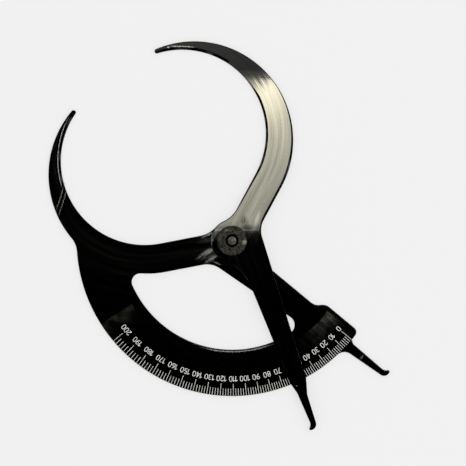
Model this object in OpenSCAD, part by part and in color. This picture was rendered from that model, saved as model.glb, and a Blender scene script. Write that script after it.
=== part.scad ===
// Inside outside caliper that reads directly on a curved scale.
//
// Two flat steel pieces turn on one rivet. The frame carries a hooked outside jaw, a scale sector with a
// window in it, and a short inside leg. The arm is the same limb mirrored, without the sector, and the
// straight edge down its middle is the pointer. Both outlines share one limb, in the limb's own axes: the
// pivot is at the origin, +X runs along the measuring line to the leg's tip, the jaw's tip lies on -X, and
// the metal is on the +Y side. The frame uses it mirrored.
//
// The part lies flat: Z is up, z = 0 is the face it rests on, and the pivot axis is the Z axis.

/* [Measuring] */
// Distance of the jaw tips and leg tips from the pivot, which sets the spacing of the scale
tip_r = 130.4; // [124:0.1:136]
// Reading at which the jaws stand
reading = 63.3; // [2:0.1:198]
// Direction of the scale's zero line from +X
zero_dir = -39.6; // [-50:0.1:-30]
// Highest reading of the scale
scale_max = 200; // [160:10:200]

/* [Limb] */
// Radius of the round boss at the pivot
boss_r = 13.5; // [12:0.1:15]
// Direction of the bar that carries the outside jaw, from the measuring line
bar_dir = 129.5; // [126:0.1:132]
// Pivot to the throat side of the bar
bar_in = 6.9; // [5:0.1:8]
// Pivot to the back of the bar
bar_out = 11.7; // [10:0.1:13]
// Pivot to the end of the straight bar, where the jaw starts to curve
bar_len = 45.2; // [40:0.1:50]
// Radius of the outside jaw's round tip
jaw_nose_r = 1.5; // [1:0.1:2.5]
// Pivot to the side of the tapered strut
side_d = 19.1; // [17:0.1:21]
// Taper of the strut and the leg
side_taper = 5; // [4:0.1:6]
// Radius of the waist between the bar's back and the strut's side
waist_r = 14.3; // [10:0.1:18]
// Radius between the boss and the throat side of the bar
throat_fillet_r = 18.6; // [14:0.1:24]
// Radius between the boss and the pointer edge
pointer_fillet_r = 30; // [24:1:34]

/* [Inside leg] */
// Step from the measuring line back to the leg's front edge, at the leg's root
leg_root = 1.5; // [0.8:0.1:2.2]
// Step from the measuring line back to the leg's front edge, at the hollow behind its tip
leg_set = 2; // [0.8:0.1:2.6]
// Step from the strut's side in to the leg's back edge
leg_step = 2.4; // [1:0.1:3]
// Length over which the strut's side steps in to the leg
leg_step_l = 10; // [6:0.1:12]
// Length over which the arm's pointer edge steps back to the leg
arm_shoulder_l = 6.5; // [4:0.1:9]
// Length over which the frame's measuring line steps back to the leg
frame_shoulder_l = 2.5; // [2:0.1:4]
// Radius of the leg's round tip
leg_nose_r = 1.1; // [0.6:0.1:1.4]
// Radius of the hollow behind the leg's tip
beak_r = 4; // [3:0.5:14]
// Radius of the leg's rounded heel, where the leg is wide enough
heel_r = 3.8; // [2:0.1:4.8]

/* [Scale sector] */
// Radius of the sector's rim
rim_r = 99.5; // [96:0.5:104]
// Radius of the window's far edge
window_r = 69.8; // [66:0.5:74]
// Radius of the window's corner under the outside jaw
window_jaw_r = 5.4; // [4:0.1:8]
// Radius of the window's corner at the end plate
window_end_r = 6; // [4:0.1:8]
// Radius between the rim and the back of the outside jaw
rim_jaw_r = 15; // [10:0.5:20]
// Radius between the rim and the inside leg
rim_leg_r = 6.5; // [4:0.1:9]
// Width of the frame's strut beyond the zero line
lip_w = 1.8; // [1:0.1:3]
// Width of the end plate beyond the zero line
end_w = 6.9; // [5.5:0.1:8]
// Radius of the S curve that widens the strut to the end plate
end_curve_r = 7; // [5:0.1:9]
// Radius of the end plate's corner at the rim
end_corner_r = 3.5; // [2:0.1:5]

/* [Plates] */
// Thickness of the frame
frame_t = 2; // [1.5:0.1:2.6]
// Thickness of the arm
arm_t = 2; // [1.5:0.1:2.6]
// Direction in which the arm slopes down, from the pointer edge
crank_dir = 157.6; // [150:0.1:165]
// Level stretch of the arm past the spacer, before the slope starts
crank_flat = 0.5; // [0.3:0.1:4]
// Pivot to the end of the slope, past which the arm lies level with the frame
crank_to = 106; // [92:0.5:110]
// Width of the ground bevel along the inner edge of each outside jaw
bevel_w = 1.6; // [0.8:0.1:2]
// Depth of the ground bevel
bevel_t = 0.7; // [0.4:0.1:1]
// Length of the ground bevel, as the angle that it turns through from the tip
bevel_turn = 50; // [30:1:60]

/* [Pivot] */
// Radius of the rivet
rivet_r = 3.1; // [2.6:0.1:3.6]
// Radius of the rivet's countersunk rear head
rear_head_r = 5; // [4.4:0.1:6]
// Height of the rear head's cone
rear_head_t = 1.4; // [1:0.1:1.4]
// Radius of the spacer between the plates
spacer_r = 6.5; // [5:0.1:9]
// Thickness of the spacer
spacer_t = 0.7; // [0.5:0.1:1]
// Radius of the front washer
washer_r = 9.6; // [8:0.1:12]
// Thickness of the front washer
washer_t = 1.5; // [1.2:0.1:2]
// Radius of the countersink in the front washer
sink_r = 4; // [3.9:0.1:4.6]
// Depth of that countersink
sink_t = 0.8; // [0.6:0.1:1]
// Spread of the rivet's hammered end
peen = 0.45; // [0.3:0.05:0.6]
// Height of the hammered end above the washer
peen_h = 0.35; // [0.2:0.05:0.6]
// Radial clearance of the arm's bore on the rivet
run_clear = 0.06; // [0.03:0.01:0.1]
// Radial clearance of a washer's or the frame's bore on the rivet
seat_clear = 0.04; // [0.01:0.01:0.06]
// Clearance between faces that slide on each other
slide_clear = 0.03; // [0.02:0.01:0.08]

/* [Scale marks] */
// Value of one division
division = 2; // [1:1:5]
// Value of one numbered division
numbered = 10; // [10:10:20]
// Length of a short mark
short_mark_l = 4.5; // [4:0.1:6]
// Length of a numbered mark
long_mark_l = 7.5; // [7:0.1:8.5]
// Length of the zero mark
zero_mark_l = 8.3; // [7:0.1:8.5]
// Width of a mark
mark_w = 0.35; // [0.2:0.05:0.6]
// Bare edge between the marks and the rim
mark_edge = 0.25; // [0.2:0.05:0.6]
// Height of the numerals
numeral_h = 3.5; // [3:0.1:5]
// Width of a numeral as a share of its height
numeral_wide = 0.6; // [0.5:0.01:0.7]
// Step from one numeral to the next as a share of their height
numeral_pitch = 0.72; // [0.62:0.01:0.8]
// Width of a numeral's strokes
stroke_w = 0.4; // [0.3:0.05:0.6]
// Distance from a numbered mark to its numeral
numeral_gap = 1.5; // [1:0.1:2]
// Thickness of the white filling in the marks and numerals
filling_t = 0.06; // [0.04:0.01:0.1]

/* [Hidden] */
$fn = 96;

// How far cutting shapes reach past what they cut, in length and in turn
over = 2;
over_turn = 10;
// Longer than any limb
far = 2 * tip_r;
// Points on arcs: chords stay near chord_l, and turn no more than arc_turn, or pen_turn in a numeral
chord_l = 1.6;
arc_turn = 12;
pen_turn = 26;

// Heights
arm_z = frame_t + spacer_t + slide_clear;
washer_z = arm_z + arm_t + slide_clear;
washer_top = washer_z + washer_t;

// Pivot to the start of the arm's slope
crank_from = spacer_r + crank_flat;

// Angle at the pivot for a reading, which is the straight distance between the tips
function opening(v) = 2 * asin(v / (2 * tip_r));
function unit(a) = [cos(a), sin(a)];
// Direction of v, as the angle nearest to near
function angle_of(v, near = 0) =
    let (turn = atan2(v.y, v.x) - near) near + turn - 360 * round(turn / 360);
// Where two lines cross, each given by its normal and its distance from the pivot
function lines_meet(n1, d1, n2, d2) =
    [d1 * n2.y - d2 * n1.y, n1.x * d2 - n2.x * d1] / (n1.x * n2.y - n2.x * n1.y);
// Where circles about a and b cross, on the left of the way from a to b
function circles_meet(a, ra, b, rb) =
    let (d = norm(b - a), ahead = (b - a) / d, run = (d * d + ra * ra - rb * rb) / (2 * d))
    a + run * ahead + sqrt(ra * ra - run * run) * [-ahead.y, ahead.x];
// Where a line leaves a circle about the pivot, with the line's normal, distance and direction
function line_leaves(n, d, along, r) = d * n + sqrt(r * r - d * d) * along;
// Points of an arc with both ends
function arc(c, r, from, to, turn = arc_turn) =
    let (steps = ceil(abs(to - from) / min(chord_l / r * 180 / PI, turn)))
    [for (i = [0:steps]) c + r * unit(from + (to - from) * i / steps)];

// Directions of the limb: along its bar, across the bar to the throat, along and out of the strut's side
bar = unit(bar_dir);
throat = unit(bar_dir + 90);
strut = unit(-side_taper);
side = unit(90 - side_taper);

// Outside jaw: both arcs leave the bar along its edges and end on the tip's small circle
jaw_nose = [-tip_r, jaw_nose_r];
back_from = bar_len * bar - bar_out * throat - jaw_nose;
back_r = (jaw_nose_r * jaw_nose_r - back_from * back_from) / (2 * (back_from * throat + jaw_nose_r));
back_c = bar_len * bar + (back_r - bar_out) * throat;
back_a = angle_of(jaw_nose - back_c, 180);
mouth_from = bar_len * bar + bar_in * throat - jaw_nose;
mouth_r = (jaw_nose_r * jaw_nose_r - mouth_from * mouth_from) / (2 * (mouth_from * throat - jaw_nose_r));
mouth_c = bar_len * bar + (bar_in + mouth_r) * throat;
mouth_a = angle_of(jaw_nose - mouth_c, 180);

// Inside leg: the tip and the heel end in one line, and the beak's hollow runs into the tip
leg_back_d = side_d - leg_step;
leg_nose = [tip_r, leg_nose_r];
heel_room = (leg_back_d - (tip_r + leg_nose_r) * side.x - leg_nose_r * side.y) / (1 - side.x);
heel_fit = min(heel_r, heel_room);
heel_x = tip_r + leg_nose_r - heel_fit;
heel = [heel_x, (leg_back_d - heel_fit - heel_x * side.x) / side.y];
beak_run = sqrt(pow(beak_r + leg_nose_r, 2) - pow(beak_r + leg_nose_r - leg_set, 2));
beak = [tip_r - beak_run, leg_set - beak_r];
beak_a = angle_of(leg_nose - beak);

// Centres of the rounds in the hollow corners at the pivot
waist = lines_meet(side, side_d + waist_r, -throat, bar_out + waist_r);
hollow_run = sqrt(pow(boss_r + throat_fillet_r, 2) - pow(bar_in + throat_fillet_r, 2));
hollow = hollow_run * bar + (bar_in + throat_fillet_r) * throat;
function pointer_fillet(lip) =
    [sqrt(pow(boss_r + pointer_fillet_r, 2) - pow(lip + pointer_fillet_r, 2)), -lip - pointer_fillet_r];

// The point at x on a line along the strut's side
function side_at(x, d) = [x, (d - x * side.x) / side.y];

// The outlines are walked anticlockwise, from the boss along the measuring line to the leg, round it and
// back past the waist, then round the outside jaw to the boss. First the stretches that frame and arm share
function leg_walk() = concat(
    arc(beak, beak_r, 90, beak_a),
    arc(leg_nose, leg_nose_r, beak_a - 180, 0),
    arc(heel, heel_fit, 0, 90 - side_taper));
function jaw_walk(back_start) = concat(
    arc(back_c, back_r, back_start, back_a),
    arc(jaw_nose, jaw_nose_r, back_a, mouth_a + 180),
    arc(mouth_c, mouth_r, mouth_a, bar_dir - 90),
    arc(hollow, throat_fillet_r, bar_dir - 90, angle_of(-hollow)));
function boss_walk(lip) = let (edge = pointer_fillet(lip)) concat(
    arc([0, 0], boss_r, angle_of(hollow, 180), angle_of(edge, 360)),
    arc(edge, pointer_fillet_r, angle_of(-edge), 90));

module arm_outline() polygon(concat(
    [[rim_r, 0], [rim_r + arm_shoulder_l, leg_root]],
    leg_walk(),
    [side_at(rim_r + leg_step_l, leg_back_d), side_at(rim_r, side_d)],
    arc(waist, waist_r, -90 - side_taper, bar_dir - 270),
    jaw_walk(bar_dir - 90),
    boss_walk(0)));

// The frame's strut passes the zero line by lip_w, and an S curve widens it to the end plate
end_curve_h = 2 * end_curve_r - (end_w - lip_w);
end_curve_a = asin(end_curve_h / (2 * end_curve_r));
end_x = window_r + end_curve_r * cos(end_curve_a);
end_swell = [end_x, end_curve_r - end_w];
end_hollow = end_swell - 2 * end_curve_r * unit(end_curve_a);
end_corner = [sqrt(pow(rim_r - end_corner_r, 2) - pow(end_w - end_corner_r, 2)), end_corner_r - end_w];
// Rounds between the rim and the leg, and between the rim and the outside jaw's back
at_leg = line_leaves(side, leg_back_d + rim_leg_r, strut, rim_r + rim_leg_r);
at_jaw = circles_meet(back_c, back_r + rim_jaw_r, [0, 0], rim_r + rim_jaw_r);
// The window's corners at the end plate and under the outside jaw
in_end = line_leaves(side, side_d + window_end_r, strut, window_r - window_end_r);
in_jaw = circles_meet(back_c, back_r + window_jaw_r, [0, 0], window_r - window_jaw_r);

module frame_outline() difference() {
    polygon(concat(
        arc(end_hollow, end_curve_r, 90, end_curve_a),
        arc(end_swell, end_curve_r, end_curve_a - 180, -90),
        arc(end_corner, end_corner_r, -90, angle_of(end_corner)),
        arc([0, 0], rim_r, angle_of(end_corner), 0),
        [[rim_r + frame_shoulder_l, leg_root]],
        leg_walk(),
        arc(at_leg, rim_leg_r, -90 - side_taper, angle_of(at_leg) - 180),
        arc([0, 0], rim_r, angle_of(at_leg), angle_of(at_jaw)),
        arc(at_jaw, rim_jaw_r, angle_of(at_jaw) - 180, angle_of(back_c - at_jaw)),
        jaw_walk(angle_of(at_jaw - back_c)),
        boss_walk(lip_w)));
    polygon(concat(
        arc(in_end, window_end_r, -90 - side_taper, angle_of(in_end)),
        arc([0, 0], window_r, angle_of(in_end), angle_of(in_jaw)),
        arc(in_jaw, window_jaw_r, angle_of(in_jaw), angle_of(back_c - in_jaw, 180)),
        arc(back_c, back_r, angle_of(in_jaw - back_c), bar_dir - 90),
        arc(waist, waist_r, bar_dir + 90, 270 - side_taper)));
}

// The ring that grinding takes off the inner edge of an outside jaw, whose upper face is at height z
module ground_bevel(z) translate([mouth_c.x, mouth_c.y, z]) rotate([0, 0, mouth_a - bevel_turn])
    rotate_extrude(angle = bevel_turn + over_turn, $fn = 360)
        polygon([
            [mouth_r - over, -bevel_t - over * bevel_t / bevel_w],
            [mouth_r + bevel_w + over, over * bevel_t / bevel_w],
            [mouth_r - over, over * bevel_t / bevel_w]]);

module frame_plate() color("#1a1a1d") rotate([0, 0, zero_dir]) difference() {
    mirror([0, 1, 0]) difference() {
        linear_extrude(frame_t) frame_outline();
        ground_bevel(frame_t);
    }
    translate([0, 0, -over]) cylinder(r = rivet_r + seat_clear, h = frame_t + 2 * over);
    translate([0, 0, -seat_clear]) cylinder(
        r1 = rear_head_r + 2 * seat_clear, r2 = rivet_r + seat_clear, h = rear_head_t + seat_clear);
}

// The slab that the arm is cut from: level at the pivot, then sloping down to the frame's level
module cranked_slab() rotate([0, 0, crank_dir]) rotate([90, 0, 0]) linear_extrude(2 * far, center = true)
    polygon([
        [-far, arm_z], [crank_from, arm_z], [crank_to, 0], [far, 0],
        [far, arm_t], [crank_to, arm_t], [crank_from, arm_z + arm_t], [-far, arm_z + arm_t]]);

module moving_arm() color("#1c1c1f") rotate([0, 0, zero_dir - opening(reading)]) difference() {
    intersection() {
        translate([0, 0, -over]) linear_extrude(arm_z + arm_t + 2 * over) arm_outline();
        cranked_slab();
    }
    translate([0, 0, arm_z - over]) cylinder(r = rivet_r + run_clear, h = arm_t + 2 * over);
    ground_bevel(arm_t);
}

module pivot_rivet() color("#4a4c48") rotate_extrude() polygon([
    [0, 0],
    [rear_head_r, 0],
    [rivet_r, rear_head_t],
    [rivet_r, washer_top - sink_t],
    [rivet_r + peen, washer_top - sink_t / 3],
    [rivet_r + peen / 2, washer_top + peen_h / 2],
    [rivet_r - peen, washer_top + peen_h],
    [0, washer_top + peen_h]]);

module spacer_washer() color("#8a7440") translate([0, 0, frame_t]) difference() {
    cylinder(r = spacer_r, h = spacer_t);
    translate([0, 0, -over]) cylinder(r = rivet_r + seat_clear, h = spacer_t + 2 * over);
}

module front_washer() color("#55564f") translate([0, 0, washer_z]) difference() {
    cylinder(r = washer_r, h = washer_t);
    translate([0, 0, -over]) cylinder(r = rivet_r + seat_clear, h = washer_t + 2 * over);
    translate([0, 0, washer_t - sink_t]) cylinder(r1 = rivet_r + seat_clear, r2 = sink_r, h = sink_t);
    translate([0, 0, washer_t]) cylinder(r = sink_r, h = over);
}

module scale_marks() color("#f2f2ee") translate([0, 0, frame_t])
    for (v = [0:division:scale_max]) rotate([0, 0, zero_dir - opening(v)]) {
        mark_l = v == 0 ? zero_mark_l : v % numbered == 0 ? long_mark_l : short_mark_l;
        translate([rim_r - mark_edge - mark_l, -mark_w / 2, 0]) cube([mark_l, mark_w, filling_t]);
    }

// A pen line of width w along the points, which turn gently
function pen(p, w) = let (
    last = len(p) - 1,
    way = [for (i = [0:last]) p[min(i + 1, last)] - p[max(i - 1, 0)]],
    out = [for (i = [0:last]) w / 2 * [-way[i].y, way[i].x] / norm(way[i])])
    concat([for (i = [0:last]) p[i] + out[i]], [for (i = [last:-1:0]) p[i] - out[i]]);

module ring(c, r, w) translate(c) difference() {
    circle(r = r + w / 2, $fn = 32);
    circle(r = r - w / 2, $fn = 32);
}

// Proportions of the numerals: the upper loop of 3 and 8 beside the lower, the height of the crossbar of 4,
// the reach of the bar of 5, the radius of the stem of 6 and 9, and the width of 1 beside the others
upper_loop = 0.9;
four_bar = 0.3;
five_bar = 0.8;
stem_curve = 0.75;
one_share = 0.62;

// The strokes of one numeral, in a box numeral_h high about x = 0, with its foot on y = 0
module numeral(n) {
    w = stroke_w;
    top = numeral_h - w / 2;
    foot = w / 2;
    half = numeral_h * numeral_wide / 2 - w / 2;
    low_c = [0, foot + half];
    high_c = [0, top - half];
    high_r = half * upper_loop;
    upper_c = [0, top - high_r];
    crossbar = numeral_h * four_bar;
    shoulder = half * five_bar;
    if (n == 0) nought([low_c, high_c], half, w);
    if (n == 1) {
        reach = numeral_h * numeral_wide * one_share / 2;
        stem = reach - w / 2;
        polygon(pen([[stem, 0], [stem, numeral_h]], w));
        polygon([[stem, numeral_h], [-reach, top - w], [-reach, top - 2.2 * w], [stem, top - w]]);
    }
    if (n == 2) {
        polygon(pen(concat(arc(high_c, half, 170, -35, pen_turn), [[-half, foot]]), w));
        translate([-half, 0]) square([2 * half, w]);
    }
    if (n == 3) {
        polygon(pen(arc(upper_c, high_r, 150, -90, pen_turn), w));
        polygon(pen(arc(low_c, half, 90, -150, pen_turn), w));
    }
    if (n == 4) {
        polygon(pen([[half / 2, 0], [half / 2, numeral_h]], w));
        polygon(pen([[half / 2, top], [-half, crossbar]], w));
        translate([-half - w / 2, crossbar - w / 2]) square([2 * half + w, w]);
    }
    if (n == 5) {
        polygon(pen(arc(low_c, half, 140, -140, pen_turn), w));
        polygon(pen([low_c + half * unit(145), [-shoulder, top]], w));
        translate([-shoulder - w / 2, top - w / 2]) square([half + shoulder, w]);
    }
    if (n == 6) loop_numeral(low_c, half, w);
    if (n == 7) {
        translate([-half, top - w / 2]) square([2 * half, w]);
        polygon(pen([[half, top], [-half / 3, 0]], w));
    }
    if (n == 8) {
        ring(upper_c, high_r, w);
        ring(low_c, half, w);
    }
    if (n == 9) translate([0, numeral_h]) rotate([0, 0, 180]) loop_numeral(low_c, half, w);
}

// A six, which turned upside down is a nine
module loop_numeral(low_c, half, w) {
    ring(low_c, half, w);
    stem_r = numeral_h * stem_curve;
    stem_c = low_c + [stem_r - half, 0];
    polygon(pen(arc(stem_c, stem_r, 180, 180 - acos(1 - 1.6 * half / stem_r), pen_turn), w));
}

// A nought: two round ends joined by straight sides
module nought(ends, r, w) difference() {
    polygon(concat(arc(ends[1], r + w / 2, 0, 180, pen_turn), arc(ends[0], r + w / 2, 180, 360, pen_turn)));
    polygon(concat(arc(ends[1], r - w / 2, 0, 180, pen_turn), arc(ends[0], r - w / 2, 180, 360, pen_turn)));
}

// The sum of the first n values of a list
function sum_of(list, n) = n == 0 ? 0 : sum_of(list, n - 1) + list[n - 1];

module scale_numerals() color("#f2f2ee") translate([0, 0, frame_t])
    for (v = [0:numbered:scale_max]) rotate([0, 0, zero_dir - opening(v) - 90]) {
        digits = v >= 100 ? [floor(v / 100), floor(v / 10) % 10, v % 10] : v >= 10 ? [floor(v / 10), v % 10] : [v];
        steps = [for (n = digits) numeral_h * numeral_pitch * (n == 1 ? one_share : 1)];
        foot = rim_r - mark_edge - long_mark_l - numeral_gap - numeral_h;
        for (i = [0:len(digits) - 1])
            translate([sum_of(steps, i) + (steps[i] - sum_of(steps, len(steps))) / 2, foot, 0])
                linear_extrude(filling_t) numeral(digits[i]);
    }

frame_plate();
moving_arm();
pivot_rivet();
spacer_washer();
front_washer();
scale_marks();
scale_numerals();
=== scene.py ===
# %% [markdown]
# A blackened steel caliper, seen straight from above.
# The CAD model gives every piece at its real size. This script gives the pieces their finish: glossy
# blackened plates brushed along their length, a dull washer, a hammered rivet and a white-filled scale.
# All lengths are in metres, in the CAD model's own frame, with the pivot's axis on Z.

# %% The model that everything is fitted to
import math

import bmesh
import bpy
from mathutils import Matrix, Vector, noise


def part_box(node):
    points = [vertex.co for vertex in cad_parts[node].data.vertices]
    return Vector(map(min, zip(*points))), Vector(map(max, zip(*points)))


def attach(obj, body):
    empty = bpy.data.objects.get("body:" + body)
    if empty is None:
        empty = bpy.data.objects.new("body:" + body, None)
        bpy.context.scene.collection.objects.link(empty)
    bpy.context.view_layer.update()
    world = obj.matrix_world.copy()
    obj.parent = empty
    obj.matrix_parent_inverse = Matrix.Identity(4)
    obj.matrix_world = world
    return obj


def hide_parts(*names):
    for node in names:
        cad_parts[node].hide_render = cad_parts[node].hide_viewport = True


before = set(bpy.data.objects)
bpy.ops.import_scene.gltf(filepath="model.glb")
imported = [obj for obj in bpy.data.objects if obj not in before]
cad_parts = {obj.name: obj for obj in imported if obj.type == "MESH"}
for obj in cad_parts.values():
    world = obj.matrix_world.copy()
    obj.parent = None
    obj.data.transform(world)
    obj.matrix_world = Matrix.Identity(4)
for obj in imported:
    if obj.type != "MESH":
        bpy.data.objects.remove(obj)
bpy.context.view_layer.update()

MM = 0.001
scene = bpy.context.scene
print("nodes:", sorted(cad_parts))

# %% [markdown]
# Three helpers serve every cell below. The first turns a colour written as sRGB hex into linear light. The
# second adds one node with its settings and links, and gives its output. The last starts an empty material.

# %% Helpers for colours, nodes and materials
MATH = "ShaderNodeMath"
VECTOR = "ShaderNodeVectorMath"
RANGE = "ShaderNodeMapRange"
MIX = "ShaderNodeMix"
NOISE = "ShaderNodeTexNoise"
# A noise lies mostly between 0.3 and 0.7. The narrower the range that is stretched to 0 and 1, the harder
# are its patches
CONTRAST = {"From Min": 0.35, "From Max": 0.65}
SOFT_CONTRAST = {"From Min": 0.3, "From Max": 0.7}
HARD_CONTRAST = {"From Min": 0.42, "From Max": 0.60}


def colour(code):
    """The linear RGBA of an sRGB hex colour such as #1a1a1d."""
    parts = [int(code[i:i + 2], 16) / 255 for i in (1, 3, 5)]
    return [*(p / 12.92 if p <= 0.04045 else ((p + 0.055) / 1.055) ** 2.4 for p in parts), 1.0]


def add(tree, kind, inputs=None, out=0, **settings):
    """Adds a node and gives its output. In inputs a value is set, and another node's output is linked."""
    made = tree.nodes.new(kind)
    for name, value in settings.items():
        setattr(made, name, value)
    for name, value in (inputs or {}).items():
        if isinstance(value, bpy.types.NodeSocket):
            tree.links.new(value, made.inputs[name])
        else:
            made.inputs[name].default_value = value
    return made.outputs[out] if made.outputs else made


def empty_material(name):
    """A new material without nodes, and its tree."""
    material = bpy.data.materials.new(name)
    material.use_nodes = True
    material.node_tree.nodes.clear()
    return material, material.node_tree


print("middle grey in linear light:", round(colour("#808080")[0], 3))

# %% [markdown]
# The photograph looks straight down from far away, so the camera hangs 10 m over the tool with a very long
# lens. That keeps the view the same all over the flat plates, which matters for what they mirror.

# %% Camera over the tool
PHOTO_SIDE = 466
MM_PER_PIXEL = 0.640
PIVOT_PIXEL = (232.0, 240.6)
CAMERA_HEIGHT = 10.0
SENSOR = 36.0

view_width = PHOTO_SIDE * MM_PER_PIXEL * MM
camera_data = bpy.data.cameras.new("camera")
camera_data.sensor_width = SENSOR
camera_data.lens = SENSOR * CAMERA_HEIGHT / view_width
camera = bpy.data.objects.new("camera", camera_data)
camera.location = (
    (PHOTO_SIDE / 2 - PIVOT_PIXEL[0]) * MM_PER_PIXEL * MM,
    (PIVOT_PIXEL[1] - PHOTO_SIDE / 2) * MM_PER_PIXEL * MM,
    CAMERA_HEIGHT,
)
scene.collection.objects.link(camera)
scene.camera = camera
scene.view_settings.view_transform = "Standard"
print("view is", round(view_width / MM, 1), "mm wide, lens", round(camera_data.lens), "mm")

# %% [markdown]
# Each plate is one limb: a round boss, a straight bar that runs into the curved outside jaw, and a straight
# leg on the other side. Its finish follows the limb, so the material needs to know where the bar bends.
# These are the limb's own axes: the pivot is at the origin, +X points to the leg's tip, and the metal is
# on +Y. The arm's axes are turned to its reading, and the frame's are turned to its zero line and mirrored.

# %% Measures of a limb
ZERO_TURN = math.radians(39.6)
READING_TURN = math.radians(67.67)
BAR_TURN = math.radians(129.5)
MOUTH_CENTRE = Vector((-75.5 * MM, -3.6 * MM, 0))
MOUTH_RADIUS = 53.7 * MM
LEG_START = 2 * MM
LEG_FULL = 14 * MM
bar_way = Vector((math.cos(BAR_TURN), math.sin(BAR_TURN), 0))
bar_side = Vector((math.sin(BAR_TURN), -math.cos(BAR_TURN), 0))
print("mouth of each jaw is", round(2 * MOUTH_RADIUS / MM, 1), "mm wide")


# %% [markdown]
# Brushing leaves long thin scratches along the limb. A noise stretched along them gives the streaks, but it
# needs coordinates that run with the limb: how far along it, and how far across. On the jaw these are an
# arc's length and its radius about the mouth's centre, and on the bar they are straight. The two join
# without a step where the bar starts to bend, because the radius there is the distance across the bar.

# %% Coordinates that follow a limb
def limb_ways(tree, place, turn, mirrored):
    """Coordinates (along, across) on the jaw's side and on the leg's side, and the share of the latter."""
    limb = add(tree, "ShaderNodeMapping", {
        "Vector": place, "Rotation": (0, 0, -turn if mirrored else turn),
        "Scale": (1, -1 if mirrored else 1, 1)})
    from_mouth = add(tree, VECTOR, {0: limb, 1: MOUTH_CENTRE}, operation="SUBTRACT")
    ahead = add(tree, VECTOR, {0: from_mouth, 1: bar_way}, out="Value", operation="DOT_PRODUCT")
    aside = add(tree, VECTOR, {0: from_mouth, 1: bar_side}, out="Value", operation="DOT_PRODUCT")
    past_bend = add(tree, MATH, {0: ahead, 1: 0.0}, operation="MAXIMUM")
    before_bend = add(tree, MATH, {0: ahead, 1: 0.0}, operation="MINIMUM")
    on_jaw = add(tree, "ShaderNodeCombineXYZ", {0: past_bend, 1: aside})
    across = add(tree, VECTOR, {0: on_jaw}, out="Value", operation="LENGTH")
    bend = add(tree, MATH, {0: past_bend, 1: aside}, operation="ARCTAN2")
    along = add(tree, MATH, {0: bend, 1: MOUTH_RADIUS, 2: before_bend}, operation="MULTIPLY_ADD")
    jaw_way = add(tree, "ShaderNodeCombineXYZ", {0: along, 1: across})
    limb_x = add(tree, "ShaderNodeSeparateXYZ", {0: limb})
    leg_share = add(tree, RANGE, {"Value": limb_x, "From Min": LEG_START, "From Max": LEG_FULL})
    return jaw_way, limb, leg_share


def limb_streaks(tree, ways, length, width, detail=2.0):
    """Noise from 0 to 1 in streaks of that length and width along the limb."""
    sides = []
    for way in ways[:2]:
        scaled = add(tree, VECTOR, {0: way, 1: (1 / length, 1 / width, 0)}, operation="MULTIPLY")
        sides.append(add(tree, NOISE, {"Vector": scaled, "Scale": 1.0, "Detail": detail}))
    return add(tree, MIX, {"Factor": ways[2], 2: sides[0], 3: sides[1]})


# %% [markdown]
# Hands and the other plate rub the finish off in places, and the file leaves small bright facets. Many of
# these places are painted highlights instead: where a tip's facet, a hook or the boss's rounded edge
# catches the light, a streak along the frame's upper edge by the boss, and a soft painted reflection on the
# frame's end plate. Each such place is a soft oval in the plate's own coordinates, given by its centre, its
# turn and its half sizes in millimetres, and how much of the black it took off. A mapping node of the
# texture kind moves the plate's coordinates into the oval's, where its edge lies at a distance of one.
# Rubbing leaves lines, so the share is broken up by a noise that is stretched along the oval. The lines of
# light along long edges are painted highlights: each is a thin arc, given by a centre, a radius and half a
# width in millimetres, the turn of its middle and half its span in degrees, and again how much of the black
# is gone. The ovals of painted shade and highlight on the arm scale its tint instead.

# %% Rubbed places and painted highlights on the plates
RUBBED_AND_HIGHLIT_ON_FRAME = [
    ((-16.6, -8.0), 31, (9.5, 2.4), 0.55),
    ((-13.6, -12.0), 33, (7.5, 1.8), 0.55),
    ((-10.5, -14.0), -22, (6.0, 0.9), 0.40),
    ((-15.0, -10.0), 24, (10.0, 5.5), 0.16),
    # A painted highlight along the frame's upper edge beside the boss
    ((-15.8, 3.6), 27, (6.0, 1.0), 0.80),
    ((-17.3, -0.3), 14, (8.0, 2.8), 0.16),
    ((83.0, -74.6), -39, (1.3, 3.0), 0.50),
    # A faint painted reflection on the frame's end plate
    ((63.0, -48.5), -58, (8.0, 2.6), 0.12),
    ((-102.4, 77.0), 62, (2.6, 0.8), 0.75),
]
# Thin lines of painted highlight: along the jaw's inner edge, along the window's lower edge, and two at the
# jaw's joggle
HIGHLIGHT_LINES_ON_FRAME = [
    ((-53.9, 51.4), 57.6, 0.32, 175, 26, 0.55),
    ((0.0, 0.0), 71.1, 0.55, -87, 22, 0.55),
    ((-300.9, 86.6), 200, 0.40, -17.4, 2.6, 0.30),
    ((-299.0, 84.3), 200, 0.40, -17.4, 3.2, 0.30),
]
HIGHLIGHTS_AND_RUBS_ON_ARM = [
    # The next three are painted highlights: the ridge and the facet at the jaw's tip, and the tip of the
    # leg's hook
    ((-31.8, 124.1), -2, (9.0, 0.6), 1.0),
    ((-40.7, 123.7), 10, (1.0, 0.6), 1.0),
    ((50.2, -119.6), 10, (0.8, 0.7), 0.70),
    ((41.4, -93.0), 60, (0.8, 0.5), 0.90),
    # A painted highlight on the rounded edge of the boss
    ((-13.1, 1.4), 84, (5.5, 1.1), 0.75),
    ((-11.4, 2.4), 70, (6.0, 2.6), 0.22),
    ((13.0, 2.0), 70, (7.0, 5.0), 0.10),
]
# Two ovals of painted shade by the boss, and a painted highlight up the bar's back
SHADE_AND_HIGHLIGHT_ON_ARM = [
    ((8.0, 11.5), 100, (6.5, 3.4), -0.9),
    ((9.5, 8.0), 0, (5.0, 3.5), -0.9),
    ((15.8, 12.8), 74, (9.0, 1.7), 1.1),
]
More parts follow.
